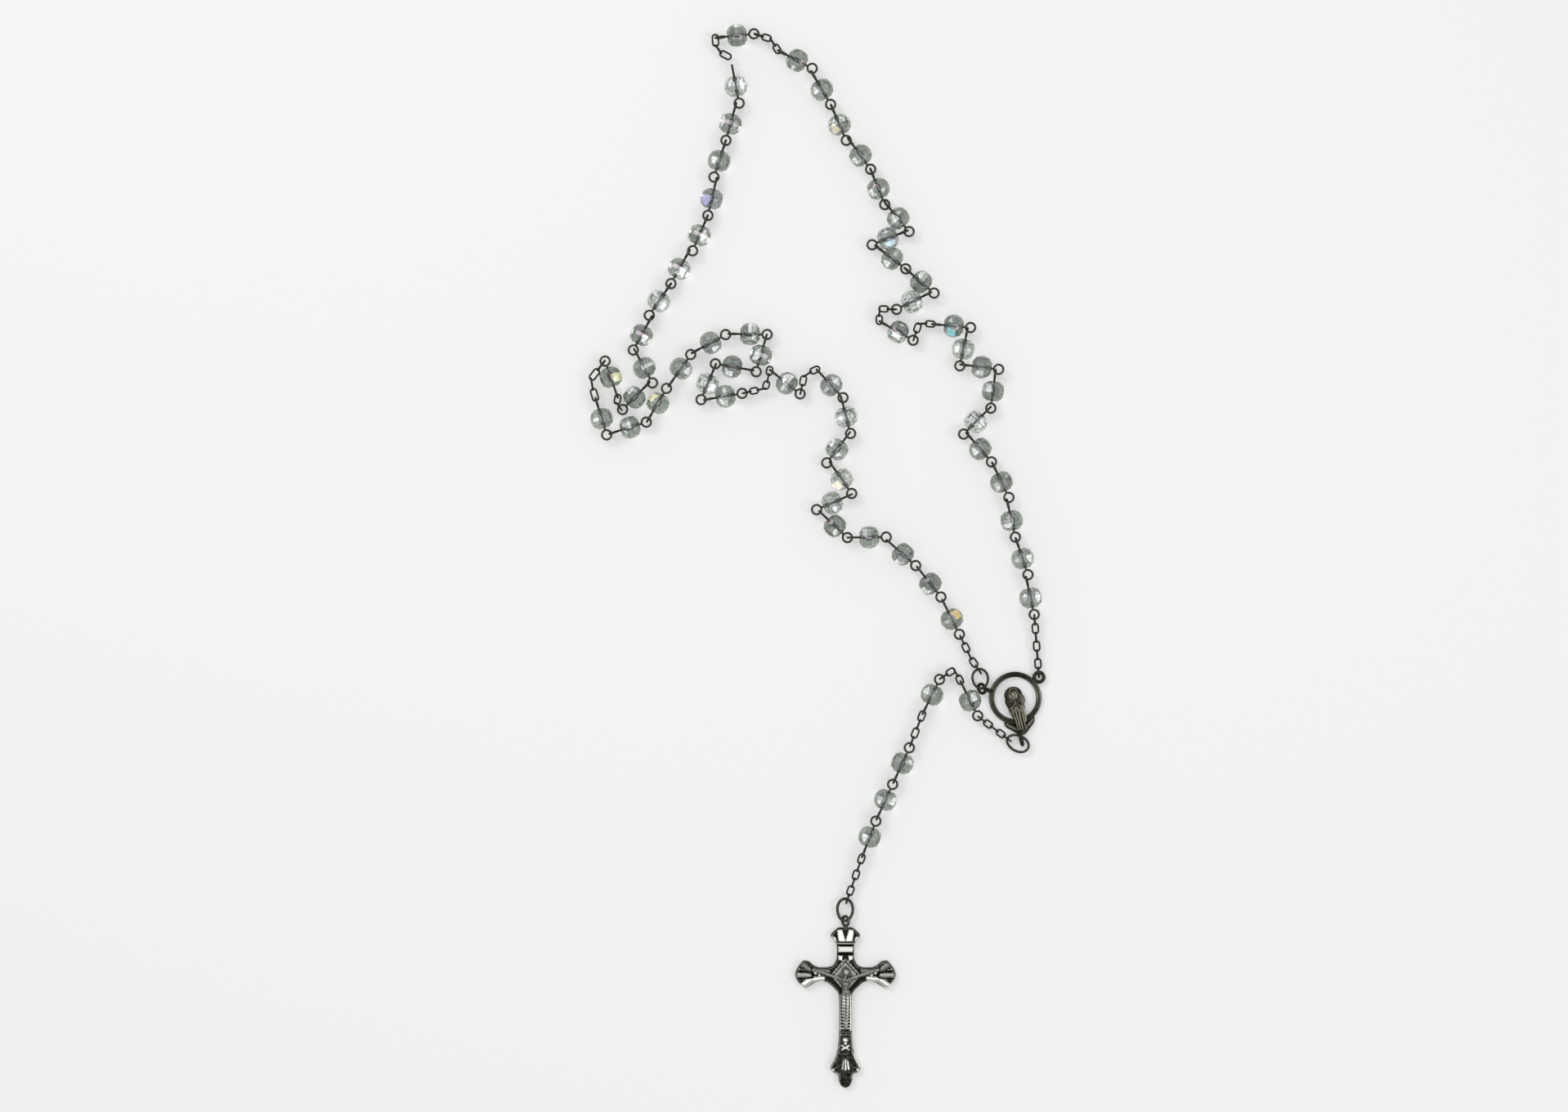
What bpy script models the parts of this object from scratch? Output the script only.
"""A five-decade rosary laid flat: crystal bead links, fine chains, an open-ring
centrepiece with a veiled figure, and a crucifix. Units are metres, +Z is up."""

import math

import bmesh
import bpy
from mathutils import Matrix, Vector

MM = 0.001

# ---- driving dimensions, in millimetres ------------------------------------
BEAD_DIAMETER = 6.2
BEAD_LENGTH = 5.3
BEAD_TABLE_DIAMETER = 2.9
BEAD_GIRDLE = 1.3
BEAD_FACETS = 8
BEAD_BORE = 1.1
PIN_HEIGHT = 3.1
PIN_RADIUS = 0.28
STEM_LENGTH = 6.7
EYE_RADIUS = 1.28
EYE_WIRE = 0.6
EYE_STEPS = 6
LINK_WIDTH = 2.1
LINK_WIRE = 0.4
LINK_OVERLAP = 0.7
RING_WIRE = 0.62
RING_LENGTH = 6.7
RING_WIDTH = 4.9
MEDAL_RING_OUTER = 14.3
MEDAL_RING_INNER = 11.4
MEDAL_THICKNESS = 1.6
FOOT_THICKNESS = 1.15
MEDAL_TILT = math.radians(11.0)
LOW_HEIGHT = 1.83
RIGHT_EYELET_HEIGHT = 1.3
CROSS_THICKNESS = 2.4

# pivot to pivot length of one bead link, and how far it may be slack or taut
LINK_REACH = STEM_LENGTH + 3.0 * EYE_RADIUS
HINGED_SLACK = 0.42
JOINED_OFFSET = 0.78

# ---- the route of the strands, in millimetres ------------------------------
MEDAL_CENTRE = (53.7, -38.7)
RIGHT_EYELET = (60.1, -33.0)
LEFT_EYELET = (44.5, -36.1)
LEFT_CHAIN_START = (44.3, -31.95)
DROP_START = (52.4, -50.4)
BOTTOM_EYELET = (55.1, -49.1)

# each strand is a list of (kind, name, places): a chain gives its bends and its
# end, a pair gives its middle and its end, a single link gives its end
RIGHT_STRAND = [
    ("chain", "right_chain", 7, [(58.7, -16.0)]),
    ("pair", "decade_1_beads_1_2", 0, [(56.4, -5.6), (53.6, 4.9)]),
    ("pair", "decade_1_beads_3_4", 0, [(51.2, 15.4), (47.2, 25.4)]),
    ("pair", "decade_1_beads_5_6", 0, [(40.2, 33.6), (46.9, 40.8)]),
    ("pair", "decade_1_beads_7_8", 0, [(47.9, 50.4), (38.9, 52.4)]),
    ("pair", "decade_1_beads_9_10", 0, [(40.4, 61.6), (31.0, 63.0)]),
    ("chain", "chain_before_father_1", 4, [(27.4, 63.4), (25.8, 58.6)]),
    ("single", "father_link_1", 0, [(16.6, 63.8)]),
    ("chain", "chain_after_father_1", 4, [(16.4, 67.2), (21.2, 67.0)]),
    ("pair", "decade_2_beads_1_2", 0, [(30.7, 71.7), (23.4, 78.3)]),
    ("pair", "decade_2_beads_3_4", 0, [(15.4, 84.4), (24.3, 88.6)]),
    ("pair", "decade_2_beads_5_6", 0, [(17.9, 96.4), (14.2, 105.0)]),
    ("pair", "decade_2_beads_7_8", 0, [(8.0, 113.6), (3.4, 122.6)]),
    ("pair", "decade_2_beads_9_10", 0, [(-2.0, 131.8), (-11.0, 137.4)]),
    ("chain", "chain_before_father_2", 4, [(-12.8, 140.4), (-17.4, 141.9)]),
    ("single", "father_link_2", 0, [(-28.0, 140.8)]),
    ("chain", "chain_after_father_2", 3, [(-27.8, 137.4), (-24.6, 135.75)]),
]
LEFT_STRAND = [
    ("chain", "left_chain", 5, [(41.6, -28.0), (38.6, -21.8)]),
    ("pair", "decade_5_beads_10_9", 0, [(33.8, -12.0), (26.8, -2.8)]),
    ("pair", "decade_5_beads_8_7", 0, [(18.3, 4.6), (7.9, 5.0)]),
    ("pair", "decade_5_beads_6_5", 0, [(0.2, 12.2), (9.2, 16.8)]),
    ("pair", "decade_5_beads_4_3", 0, [(3.0, 25.6), (8.6, 33.9)]),
    ("pair", "decade_5_beads_2_1", 0, [(6.0, 43.4), (-0.4, 50.6)]),
    ("chain", "chain_after_father_4", 4, [(-3.8, 49.2), (-4.9, 44.0)]),
    ("single", "father_link_4", 0, [(-13.2, 50.6)]),
    ("chain", "chain_before_father_4", 6, [(-14.2, 45.6), (-20.6, 44.2)]),
    ("pair", "decade_4_beads_10_9", 0, [(-31.1, 42.4), (-27.8, 52.2)]),
    ("pair", "decade_4_beads_8_7", 0, [(-17.6, 50.4), (-14.0, 60.2)]),
    ("pair", "decade_4_beads_6_5", 0, [(-24.4, 60.4), (-34.4, 55.2)]),
    ("pair", "decade_4_beads_4_3", 0, [(-40.8, 46.0), (-46.6, 36.4)]),
    ("pair", "decade_4_beads_2_1", 0, [(-56.8, 33.2), (-60.6, 43.0)]),
    ("chain", "chain_after_father_3", 4, [(-62.0, 47.8), (-58.0, 53.1)]),
    ("single", "father_link_3", 0, [(-54.5, 43.0)]),
    ("chain", "chain_before_father_3", 2, [(-54.8, 41.2), (-53.4, 39.6)]),
    ("pair", "decade_3_beads_10_9", 0, [(-45.8, 47.3), (-50.1, 56.3)]),
    ("pair", "decade_3_beads_8_7", 0, [(-45.2, 65.2), (-40.0, 74.1)]),
    ("pair", "decade_3_beads_6_5", 0, [(-34.9, 83.2), (-30.0, 92.6)]),
    ("pair", "decade_3_beads_4_3", 0, [(-27.6, 102.8), (-25.1, 113.0)]),
    ("pair", "decade_3_beads_2_1", 0, [(-22.3, 123.1), (-23.5, 133.4)]),
]
DROP_STRAND = [
    ("chain", "drop_chain_1", 5, [(43.4, -43.6)]),
    ("single", "1", 0, [(38.6, -34.0)]),
    ("chain", "drop_chain_2", 4, [(37.0, -30.8), (33.0, -33.4)]),
    ("single", "2", 0, [(28.3, -43.0)]),
    ("chain", "drop_chain_3", 4, [(25.0, -51.5)]),
    ("single", "3", 0, [(20.4, -61.6)]),
    ("single", "4", 0, [(15.7, -71.8)]),
    ("single", "5", 0, [(11.8, -82.0)]),
    ("chain", "drop_chain_4", 6, [(7.6, -94.45)]),
]
BOTTOM_RING_CENTRE = (54.3, -51.0)
BOTTOM_RING_TURN = math.radians(-25.0)
LEFT_RING_CENTRE = (44.1, -33.4)
LEFT_RING_TURN = math.radians(98.0)
CROSS_RING_CENTRE = (7.3, -96.3)
CROSS_CENTRE = (7.4, -114.0)

UP = Vector((0.0, 0.0, 1.0))


# ---- materials --------------------------------------------------------------
def material(name, colour, metallic, roughness, transmission=0.0):
    """One Principled material."""
    mat = bpy.data.materials.new(name)
    mat.use_nodes = True
    shader = mat.node_tree.nodes["Principled BSDF"]
    shader.inputs["Base Color"].default_value = (*colour, 1.0)
    shader.inputs["Metallic"].default_value = metallic
    shader.inputs["Roughness"].default_value = roughness
    shader.inputs["Transmission Weight"].default_value = transmission
    mat.diffuse_color = (*colour, 1.0)
    return mat


# ---- plain meshes, in millimetres -------------------------------------------
def band(points, normal, wire):
    """A closed square-section wire along a flat closed path."""
    half = wire / 2.0
    count = len(points)
    verts = []
    for i, point in enumerate(points):
        before = (point - points[i - 1]).normalized()
        after = (points[(i + 1) % count] - point).normalized()
        out = (before.cross(normal) + after.cross(normal)).normalized()
        out = out / max(0.2, out.dot(after.cross(normal)))
        for side, level in ((1, 1), (-1, 1), (-1, -1), (1, -1)):
            verts.append(point + out * half * side + normal * half * level)
    faces = []
    for i in range(count):
        a = 4 * i
        b = 4 * ((i + 1) % count)
        for k in range(4):
            n = (k + 1) % 4
            faces.append((a + k, b + k, b + n, a + n))
    return verts, faces


def ring_path(centre, along, normal, radius, steps):
    """Corners of a round eye, with the middle of a side on the given way."""
    across = normal.cross(along)
    out = radius / math.cos(math.pi / steps)
    path = []
    for i in range(steps):
        a = 2.0 * math.pi * (i + 0.5) / steps
        path.append(centre + (along * math.cos(a) + across * math.sin(a)) * out)
    return path


def ellipse_path(centre, along, normal, length, width, steps=12):
    """Corners of an oval ring, with the middle of a side at each end."""
    across = normal.cross(along)
    out = 0.5 / math.cos(math.pi / steps)
    path = []
    for i in range(steps):
        a = 2.0 * math.pi * (i + 0.5) / steps
        x = length * math.cos(a) * out
        y = width * math.sin(a) * out
        path.append(centre + along * x + across * y)
    return path


def oval_path(centre, along, normal, length, width, shoulder=0.5):
    """Six corners of a long link: two tips and four shoulders."""
    across = normal.cross(along)
    tip = length / 2.0
    side = width / 2.0
    flat = tip - side + shoulder * side
    places = ((tip, 0), (flat, side), (-flat, side), (-tip, 0), (-flat, -side), (flat, -side))
    return [centre + along * x + across * y for x, y in places]


def lathe(centre, along, profile, sides, hole=0.0):
    """A faceted turned body; profile holds (distance along, radius) pairs."""
    side = UP.cross(along).normalized()
    rise = along.cross(side)
    rings = list(profile)
    if hole:
        rings = [(rings[0][0], hole)] + rings + [(rings[-1][0], hole)]
    verts = []
    for x, radius in rings:
        for i in range(sides):
            a = 2.0 * math.pi * i / sides
            out = rise * math.cos(a) + side * math.sin(a)
            verts.append(centre + along * x + out * radius)
    faces = []
    bands = len(rings) if hole else len(rings) - 1
    for r in range(bands):
        a = r * sides
        b = ((r + 1) % len(rings)) * sides
        for i in range(sides):
            n = (i + 1) % sides
            faces.append((a + i, a + n, b + n, b + i))
    if not hole:
        faces.append(tuple(reversed(range(sides))))
        faces.append(tuple(range(len(verts) - sides, len(verts))))
    return verts, faces


def slab(outline, low, high):
    """An upright prism over a flat outline given anticlockwise."""
    count = len(outline)
    verts = [Vector((x, y, low)) for x, y in outline]
    verts += [Vector((x, y, high)) for x, y in outline]
    faces = [tuple(reversed(range(count))), tuple(range(count, 2 * count))]
    for i in range(count):
        n = (i + 1) % count
        faces.append((i, n, count + n, count + i))
    return verts, faces


def add_solid(name, mesh, mat, turn=None):
    """Make one object from vertices and faces in millimetres."""
    verts, faces = mesh
    data = bpy.data.meshes.new(name)
    points = [turn @ v if turn else v for v in verts]
    data.from_pydata([v * MM for v in points], [], faces)
    data.materials.append(mat)
    obj = bpy.data.objects.new(name, data)
    bpy.context.scene.collection.objects.link(obj)
    edit = bmesh.new()
    edit.from_mesh(data)
    bmesh.ops.recalc_face_normals(edit, faces=edit.faces)
    edit.to_mesh(data)
    edit.free()
    return obj


def fuse(name, meshes, mat, turn=None, cuts=()):
    """Join solids that run into one another into one body, then cut it."""
    base = add_solid(name, meshes[0], mat, turn)
    steps = [("UNION", mesh) for mesh in meshes[1:]] + [("DIFFERENCE", mesh) for mesh in cuts]
    for n, (kind, mesh) in enumerate(steps):
        tool = add_solid(f"{name}_tool_{n}", mesh, mat, turn)
        tool.hide_render = True
        tool.display_type = "WIRE"
        mod = base.modifiers.new(f"step_{n}", "BOOLEAN")
        mod.operation = kind
        mod.solver = "EXACT"
        mod.object = tool
        bpy.context.view_layer.update()
        graph = bpy.context.evaluated_depsgraph_get()
        made = bpy.data.meshes.new_from_object(base.evaluated_get(graph))
        base.modifiers.clear()
        old = base.data
        base.data = made
        bpy.data.meshes.remove(old)
        spare = tool.data
        bpy.data.objects.remove(tool)
        bpy.data.meshes.remove(spare)
    base.data.name = name
    return base


def set_origin(obj, place):
    """Put an object's origin at a place in millimetres without moving its shape."""
    target = Vector(place) * MM
    obj.data.transform(Matrix.Translation(-target))
    obj.location = target


# ---- links ------------------------------------------------------------------
def bead_profile():
    """Half sections of the faceted bead from one table to the other."""
    end = BEAD_LENGTH / 2.0
    table = BEAD_TABLE_DIAMETER / 2.0
    wide = BEAD_DIAMETER / 2.0
    mid = BEAD_GIRDLE / 2.0
    return [(-end, table), (-mid, wide), (mid, wide), (end, table)]


def pin_meshes(flat_eye, along, reach, height):
    """A flat eye, a stem and an upright eye; returns meshes and the middle."""
    side = UP.cross(along)
    upright_eye = flat_eye + along * (2.0 * EYE_RADIUS + STEM_LENGTH)
    middle = (flat_eye + upright_eye) / 2.0
    half = STEM_LENGTH / 2.0
    stem = [(-half, PIN_RADIUS), (half, PIN_RADIUS)]
    meshes = [
        band(ring_path(flat_eye, along, UP, EYE_RADIUS, EYE_STEPS), UP, EYE_WIRE),
        lathe(middle, along, stem, 6),
        band(ring_path(upright_eye, along, side, EYE_RADIUS, EYE_STEPS), side, EYE_WIRE),
    ]
    return meshes, middle


def hinged_eye(start, end):
    """Where the flat eye of a freely hinged link stands, and its way along."""
    along = (end - start).normalized()
    slack = (end - start).length - LINK_REACH
    return start + along * slack, along


def joined_eye(start, end, side):
    """The flat eye of a link that bears on the wire of its neighbour's eye."""
    span = end - start
    reach = span.length
    ahead = (reach * reach + JOINED_OFFSET ** 2 - LINK_REACH ** 2) / (2.0 * reach)
    aside = math.sqrt(max(0.0, JOINED_OFFSET ** 2 - ahead * ahead))
    along = span.normalized()
    eye = start + along * ahead + UP.cross(along) * aside * side
    return eye, (end - eye).normalized()


def bead_link(start, end, joined=False, side=1.0):
    """Meshes of one bead on its pin between two pivots."""
    eye, along = joined_eye(start, end, side) if joined else hinged_eye(start, end)
    pin, middle = pin_meshes(eye, along, end, PIN_HEIGHT)
    bead = lathe(middle, along, bead_profile(), BEAD_FACETS)
    return [pin[1], bead, pin[0], pin[2]], middle


def chain_meshes(route, count, first_flat, last_flat):
    """Fine oval links, each run into the next, along a bent route."""
    inset = {True: -(LINK_WIDTH - LINK_OVERLAP) / 2.0, False: 0.15}
    points = list(route)
    start_way = (points[1] - points[0]).normalized()
    end_way = (points[-1] - points[-2]).normalized()
    points[0] = points[0] + start_way * inset[first_flat]
    points[-1] = points[-1] - end_way * inset[last_flat]
    lengths = [(b - a).length for a, b in zip(points, points[1:])]
    total = sum(lengths)

    def place(distance):
        for a, b, length in zip(points, points[1:], lengths):
            if distance <= length or b is points[-1]:
                return a.lerp(b, distance / length)
            distance -= length

    pitch = total / count
    meshes = []
    for i in range(count):
        a = place(pitch * i)
        b = place(pitch * (i + 1))
        along = (b - a).normalized()
        side = UP.cross(along).normalized()
        rise = along.cross(side)
        flat = first_flat if i % 2 == 0 else not first_flat
        normal = rise if flat else side
        length = (b - a).length + LINK_OVERLAP - LINK_WIRE
        path = oval_path((a + b) / 2.0, along, normal, length, LINK_WIDTH - LINK_WIRE)
        meshes.append(band(path, normal, LINK_WIRE))
    return meshes


# ---- strands ----------------------------------------------------------------
def settle(strand, start):
    """Nudge the drawn route until every bead link has a length it can have."""
    points = [Vector(start)]
    spans = []
    before = ""
    for kind, _, _, places in strand:
        least = LINK_REACH + 0.08 if before == "chain" else LINK_REACH - HINGED_SLACK
        before = kind
        for x, y in places:
            points.append(Vector((x, y, PIN_HEIGHT)))
            index = len(points) - 1
            if kind == "single" or (kind == "pair" and (x, y) == places[0]):
                spans.append((index, least, LINK_REACH + HINGED_SLACK))
            elif kind == "pair":
                room = JOINED_OFFSET - 0.02
                spans.append((index, LINK_REACH - room, LINK_REACH + room))
    for _ in range(400):
        for index, least, most in spans:
            span = points[index] - points[index - 1]
            wanted = min(max(span.length, least), most)
            shift = span.normalized() * (span.length - wanted) / 2.0
            points[index] = points[index] - shift
            if index > 1:
                points[index - 1] = points[index - 1] + shift
    return points


def even_slope(route):
    """Let a route climb evenly from its first height to its last."""
    steps = [(b.xy - a.xy).length for a, b in zip(route, route[1:])]
    gone = 0.0
    made = [route[0]]
    for step, point in zip(steps, route[1:]):
        gone += step
        height = route[0].z + (route[-1].z - route[0].z) * gone / sum(steps)
        made.append(Vector((point.x, point.y, height)))
    return made


def build_strand(strand, points, mats, first_flat):
    """Make every solid of one strand, with its origin on its own pivot."""
    at = 0
    for kind, name, count, places in strand:
        route = points[at : at + len(places) + 1]
        at += len(places)
        if kind == "chain":
            route = even_slope(route)
            meshes = chain_meshes(route, count, first_flat, first_flat == (count % 2 == 1))
            obj = fuse(name, meshes, mats["wire"])
        elif kind == "pair":
            turn = (route[1] - route[0]).cross(route[2] - route[1]).z
            first, _ = bead_link(route[0], route[1])
            second, _ = bead_link(route[1], route[2], True, 1.0 if turn < 0 else -1.0)
            obj = fuse(name, first + second, mats["crystal"])
        elif name.isdigit():
            eye, along = hinged_eye(route[0], route[1])
            pin, middle = pin_meshes(eye, along, route[1], PIN_HEIGHT)
            obj = fuse(f"drop_pin_{name}", [pin[1], pin[0], pin[2]], mats["wire"])
            bead = lathe(middle, along, bead_profile(), BEAD_FACETS, BEAD_BORE / 2.0)
            ball = add_solid(f"drop_bead_{name}", bead, mats["crystal"])
            set_origin(ball, middle)
        else:
            meshes, _ = bead_link(route[0], route[1])
            obj = fuse(name, meshes, mats["crystal"])
        set_origin(obj, route[0])
        first_flat = True


# ---- rings, centrepiece and crucifix ----------------------------------------
def direction(angle):
    """A level unit vector at an angle from +X."""
    return Vector((math.cos(angle), math.sin(angle), 0.0))


def jump_ring(name, centre, turn, length, pivot, mat):
    """A level oval ring of wire that turns about a pivot inside it."""
    middle = Vector((*centre, LOW_HEIGHT))
    size = length - RING_WIRE, RING_WIDTH - RING_WIRE
    path = ellipse_path(middle, direction(turn), UP, *size)
    ring = add_solid(name, band(path, UP, RING_WIRE * 0.9), mat)
    set_origin(ring, (*pivot, LOW_HEIGHT))
    return ring


def eye_far_side(centre, way):
    """Where the far side of an upright eye stands, in the level plane."""
    return centre[0] + way.x * EYE_RADIUS, centre[1] + way.y * EYE_RADIUS


def upright_eye(centre, way, radius=EYE_RADIUS):
    """An upright eye whose far side points along the given level way."""
    middle = Vector((*centre, LOW_HEIGHT))
    side = UP.cross(way)
    return band(ring_path(middle, way, side, radius, EYE_STEPS), side, EYE_WIRE)


def neck(start, end, height, radius):
    """A short stub of metal between two places."""
    a = Vector((*start, height))
    b = Vector((*end, height))
    half = (b - a).length / 2.0
    along = (b - a).normalized()
    return lathe((a + b) / 2.0, along, [(-half, radius), (half, radius)], 6)


def build_medal(mats):
    """The open ring with its three eyelets, and the veiled figure in it."""
    turn = Matrix.Translation(Vector((*MEDAL_CENTRE, 0.0))) @ Matrix.Rotation(MEDAL_TILT, 4, "Z")
    back = turn.inverted()

    def local(place):
        spot = back @ Vector((*place, 0.0))
        return spot.x, spot.y

    mean = (MEDAL_RING_OUTER + MEDAL_RING_INNER) / 4.0
    wide = (MEDAL_RING_OUTER - MEDAL_RING_INNER) / 2.0
    hoop_path = ring_path(Vector((0, 0, MEDAL_THICKNESS / 2.0)), Vector((1, 0, 0)), UP, mean, 24)
    verts, faces = band(hoop_path, UP, wide)
    for v in verts:
        v.z = MEDAL_THICKNESS if v.z > MEDAL_THICKNESS / 2.0 else 0.0
    base = [(-4.4, -6.0), (-4.6, -7.4), (-2.2, -9.3), (0.0, -9.7), (2.2, -9.3), (4.6, -7.4), (4.4, -6.0)]
    base += [(0.0, -6.6)]
    foot = slab(base, 0.0, FOOT_THICKNESS)
    rx, ry = local(RIGHT_EYELET)
    lx, ly = local(LEFT_EYELET)
    bx, by = local(BOTTOM_EYELET)
    right_middle = Vector((rx, ry, RIGHT_EYELET_HEIGHT))
    right_way = Vector((rx, ry, 0.0)).normalized()
    right_eye = band(ring_path(right_middle, right_way, UP, 1.4, 8), UP, EYE_WIRE)
    left_way = back.to_3x3() @ direction(LEFT_RING_TURN)
    left_eye = upright_eye((lx, ly), left_way)
    low = Vector((lx, ly, 0.0)) - left_way * EYE_RADIUS
    stub = neck((low.x, low.y), (-6.5, low.y * 0.2 - 0.6), 1.3, 0.4)
    bottom_eye = upright_eye((bx, by), Vector((0.0, -1.0, 0.0)))
    parts = [(verts, faces), foot, right_eye, left_eye, stub, bottom_eye]
    hoop = fuse("centrepiece_ring", parts, mats["silver"], turn)
    set_origin(hoop, (*MEDAL_CENTRE, 0.0))

    veil = [(0.0, 3.6), (-1.6, 3.3), (-2.7, 2.2), (-3.1, 0.4), (-2.5, -2.2), (-1.7, -5.0), (-1.5, -7.6)]
    veil += [(0.0, -8.6), (1.5, -7.6), (1.9, -5.0), (2.6, -2.2), (3.0, 0.4), (2.5, 2.2), (1.5, 3.3)]
    body = [(0.0, -0.6), (-1.5, -1.2), (-1.0, -5.0), (-0.9, -7.4), (0.9, -7.4), (1.0, -5.0), (1.5, -1.2)]
    head = lathe(Vector((0.0, 0.7, 2.6)), Vector((0, 1, 0)), [(-1.4, 0.6), (-0.6, 1.15), (0.7, 1.2), (1.6, 0.5)], 8)
    figure = fuse(
        "veiled_figure",
        [slab(veil, 1.7, 2.5), slab(body, 2.3, 3.3), head],
        mats["silver"],
        turn,
    )
    set_origin(figure, (*MEDAL_CENTRE, 0.0))


def cross_outline():
    """Half of the flared cross from its top to its foot, mirrored."""
    half = [(0.0, 12.6), (1.9, 12.9), (4.05, 11.1), (2.3, 8.3), (2.3, 3.4), (4.4, 2.0)]
    half += [(8.4, 2.0), (11.0, 3.65), (12.6, 3.0), (13.7, 0.9), (13.7, -0.9), (12.6, -3.0)]
    half += [(11.0, -3.65), (8.4, -2.0), (4.4, -2.2), (1.7, -4.9), (1.7, -15.5), (2.1, -17.4)]
    half += [(4.1, -25.4), (3.4, -26.6), (2.2, -27.0), (2.0, -29.2), (1.0, -30.9)]
    left = [(-x, y) for x, y in reversed(half) if x > 0.0]
    return half[1:] + left + [half[0]]


def build_crucifix(mats):
    """The cross with its rosette, plaques and eye, and the figure on it."""
    turn = Matrix.Translation(Vector((*CROSS_CENTRE, 0.0)))
    top = CROSS_THICKNESS
    outline = list(reversed(cross_outline()))
    diamond = [(4.5, 0.0), (0.0, 4.9), (-4.5, 0.0), (0.0, -4.9)]
    plaque = [(1.7, 5.9), (1.7, 8.0), (-1.7, 8.0), (-1.7, 5.9)]
    lower = [(1.4, -20.6), (1.4, -17.4), (-1.4, -17.4), (-1.4, -20.6)]
    parts = [
        slab(outline, 0.0, top),
        slab(diamond, top - 0.3, top + 0.4),
        slab(plaque, top - 0.3, top + 0.5),
        slab(lower, top - 0.3, top + 0.4),
    ]
    for x, y in ((-11.6, 0.0), (11.6, 0.0), (0.0, 10.9), (0.0, -25.2)):
        boss = [(x + 1.5 * math.cos(k * math.pi / 3), y + 1.5 * math.sin(k * math.pi / 3)) for k in range(6)]
        parts.append(slab(boss, top - 0.3, top + 0.4))
    eye_y = CROSS_RING_CENTRE[1] - (RING_LENGTH - RING_WIRE) / 2.0 - CROSS_CENTRE[1]
    parts.append(upright_eye((0.0, eye_y), Vector((0.0, 1.0, 0.0))))
    parts.append(neck((0.0, eye_y - EYE_RADIUS), (0.0, 12.0), 1.4, 0.45))
    cross = fuse("crucifix_cross", parts, mats["bright"], turn)
    place = (CROSS_CENTRE[0], CROSS_CENTRE[1] + eye_y, LOW_HEIGHT)
    set_origin(cross, place)

    def limb(start, end, radii, height):
        a = Vector((*start, height))
        b = Vector((*end, height))
        half = (b - a).length / 2.0
        steps = len(radii) - 1
        profile = [(-half + 2.0 * half * i / steps, r) for i, r in enumerate(radii)]
        return lathe((a + b) / 2.0, (b - a).normalized(), profile, 6)

    parts = [
        limb((0.0, -3.4), (0.0, 2.9), (0.8, 0.75, 0.95, 0.6), top + 1.45),
        limb((0.0, 2.6), (0.0, 4.7), (0.4, 0.85, 0.9, 0.4), top + 1.55),
        limb((0.3, 2.4), (8.6, 2.0), (0.5, 0.42, 0.34, 0.3), top + 1.3),
        limb((-0.3, 2.4), (-8.6, 2.0), (0.5, 0.42, 0.34, 0.3), top + 1.3),
        limb((0.0, -2.8), (0.0, -15.0), (0.95, 0.9, 0.6, 0.4), top + 1.45),
    ]
    corpus = fuse("crucifix_figure", parts, mats["bright"], turn)
    set_origin(corpus, place)


def stand_on_floor():
    """Centre the lay on the origin, with its lowest point at no height."""
    bpy.context.view_layer.update()
    solids = [obj for obj in bpy.data.objects if obj.type == "MESH"]
    spots = [obj.matrix_world @ v.co for obj in solids for v in obj.data.vertices]
    low = [min(spot[i] for spot in spots) for i in range(3)]
    high = [max(spot[i] for spot in spots) for i in range(3)]
    shift = Vector(((low[0] + high[0]) / 2.0, (low[1] + high[1]) / 2.0, low[2]))
    for obj in solids:
        obj.location = obj.location - shift


def main():
    """Build the whole rosary."""
    for obj in list(bpy.data.objects):
        bpy.data.objects.remove(obj, do_unlink=True)
    mats = {
        "crystal": material("crystal_glass", (0.78, 0.83, 0.81), 0.0, 0.05, 0.8),
        "wire": material("dark_silver_wire", (0.22, 0.22, 0.2), 1.0, 0.35),
        "silver": material("antique_silver", (0.3, 0.29, 0.25), 1.0, 0.4),
        "bright": material("bright_silver", (0.72, 0.72, 0.66), 1.0, 0.3),
    }
    build_medal(mats)
    build_crucifix(mats)
    wire = mats["wire"]
    pivot = eye_far_side(LEFT_EYELET, direction(LEFT_RING_TURN))
    jump_ring("left_jump_ring", LEFT_RING_CENTRE, LEFT_RING_TURN, 6.0, pivot, wire)
    pivot = eye_far_side(BOTTOM_EYELET, direction(MEDAL_TILT - math.pi / 2))
    jump_ring("bottom_jump_ring", BOTTOM_RING_CENTRE, BOTTOM_RING_TURN, 6.9, pivot, wire)
    pivot = DROP_STRAND[-1][3][-1]
    jump_ring("crucifix_jump_ring", CROSS_RING_CENTRE, math.pi / 2, RING_LENGTH, pivot, wire)
    right = settle(RIGHT_STRAND, (*RIGHT_EYELET, RIGHT_EYELET_HEIGHT))
    left = settle(LEFT_STRAND, (*LEFT_CHAIN_START, LOW_HEIGHT))
    drop = settle(DROP_STRAND, (*DROP_START, LOW_HEIGHT))
    drop[-1].z = LOW_HEIGHT
    build_strand(RIGHT_STRAND, right, mats, False)
    build_strand(LEFT_STRAND, left, mats, False)
    build_strand(DROP_STRAND, drop, mats, False)
    stand_on_floor()


main()
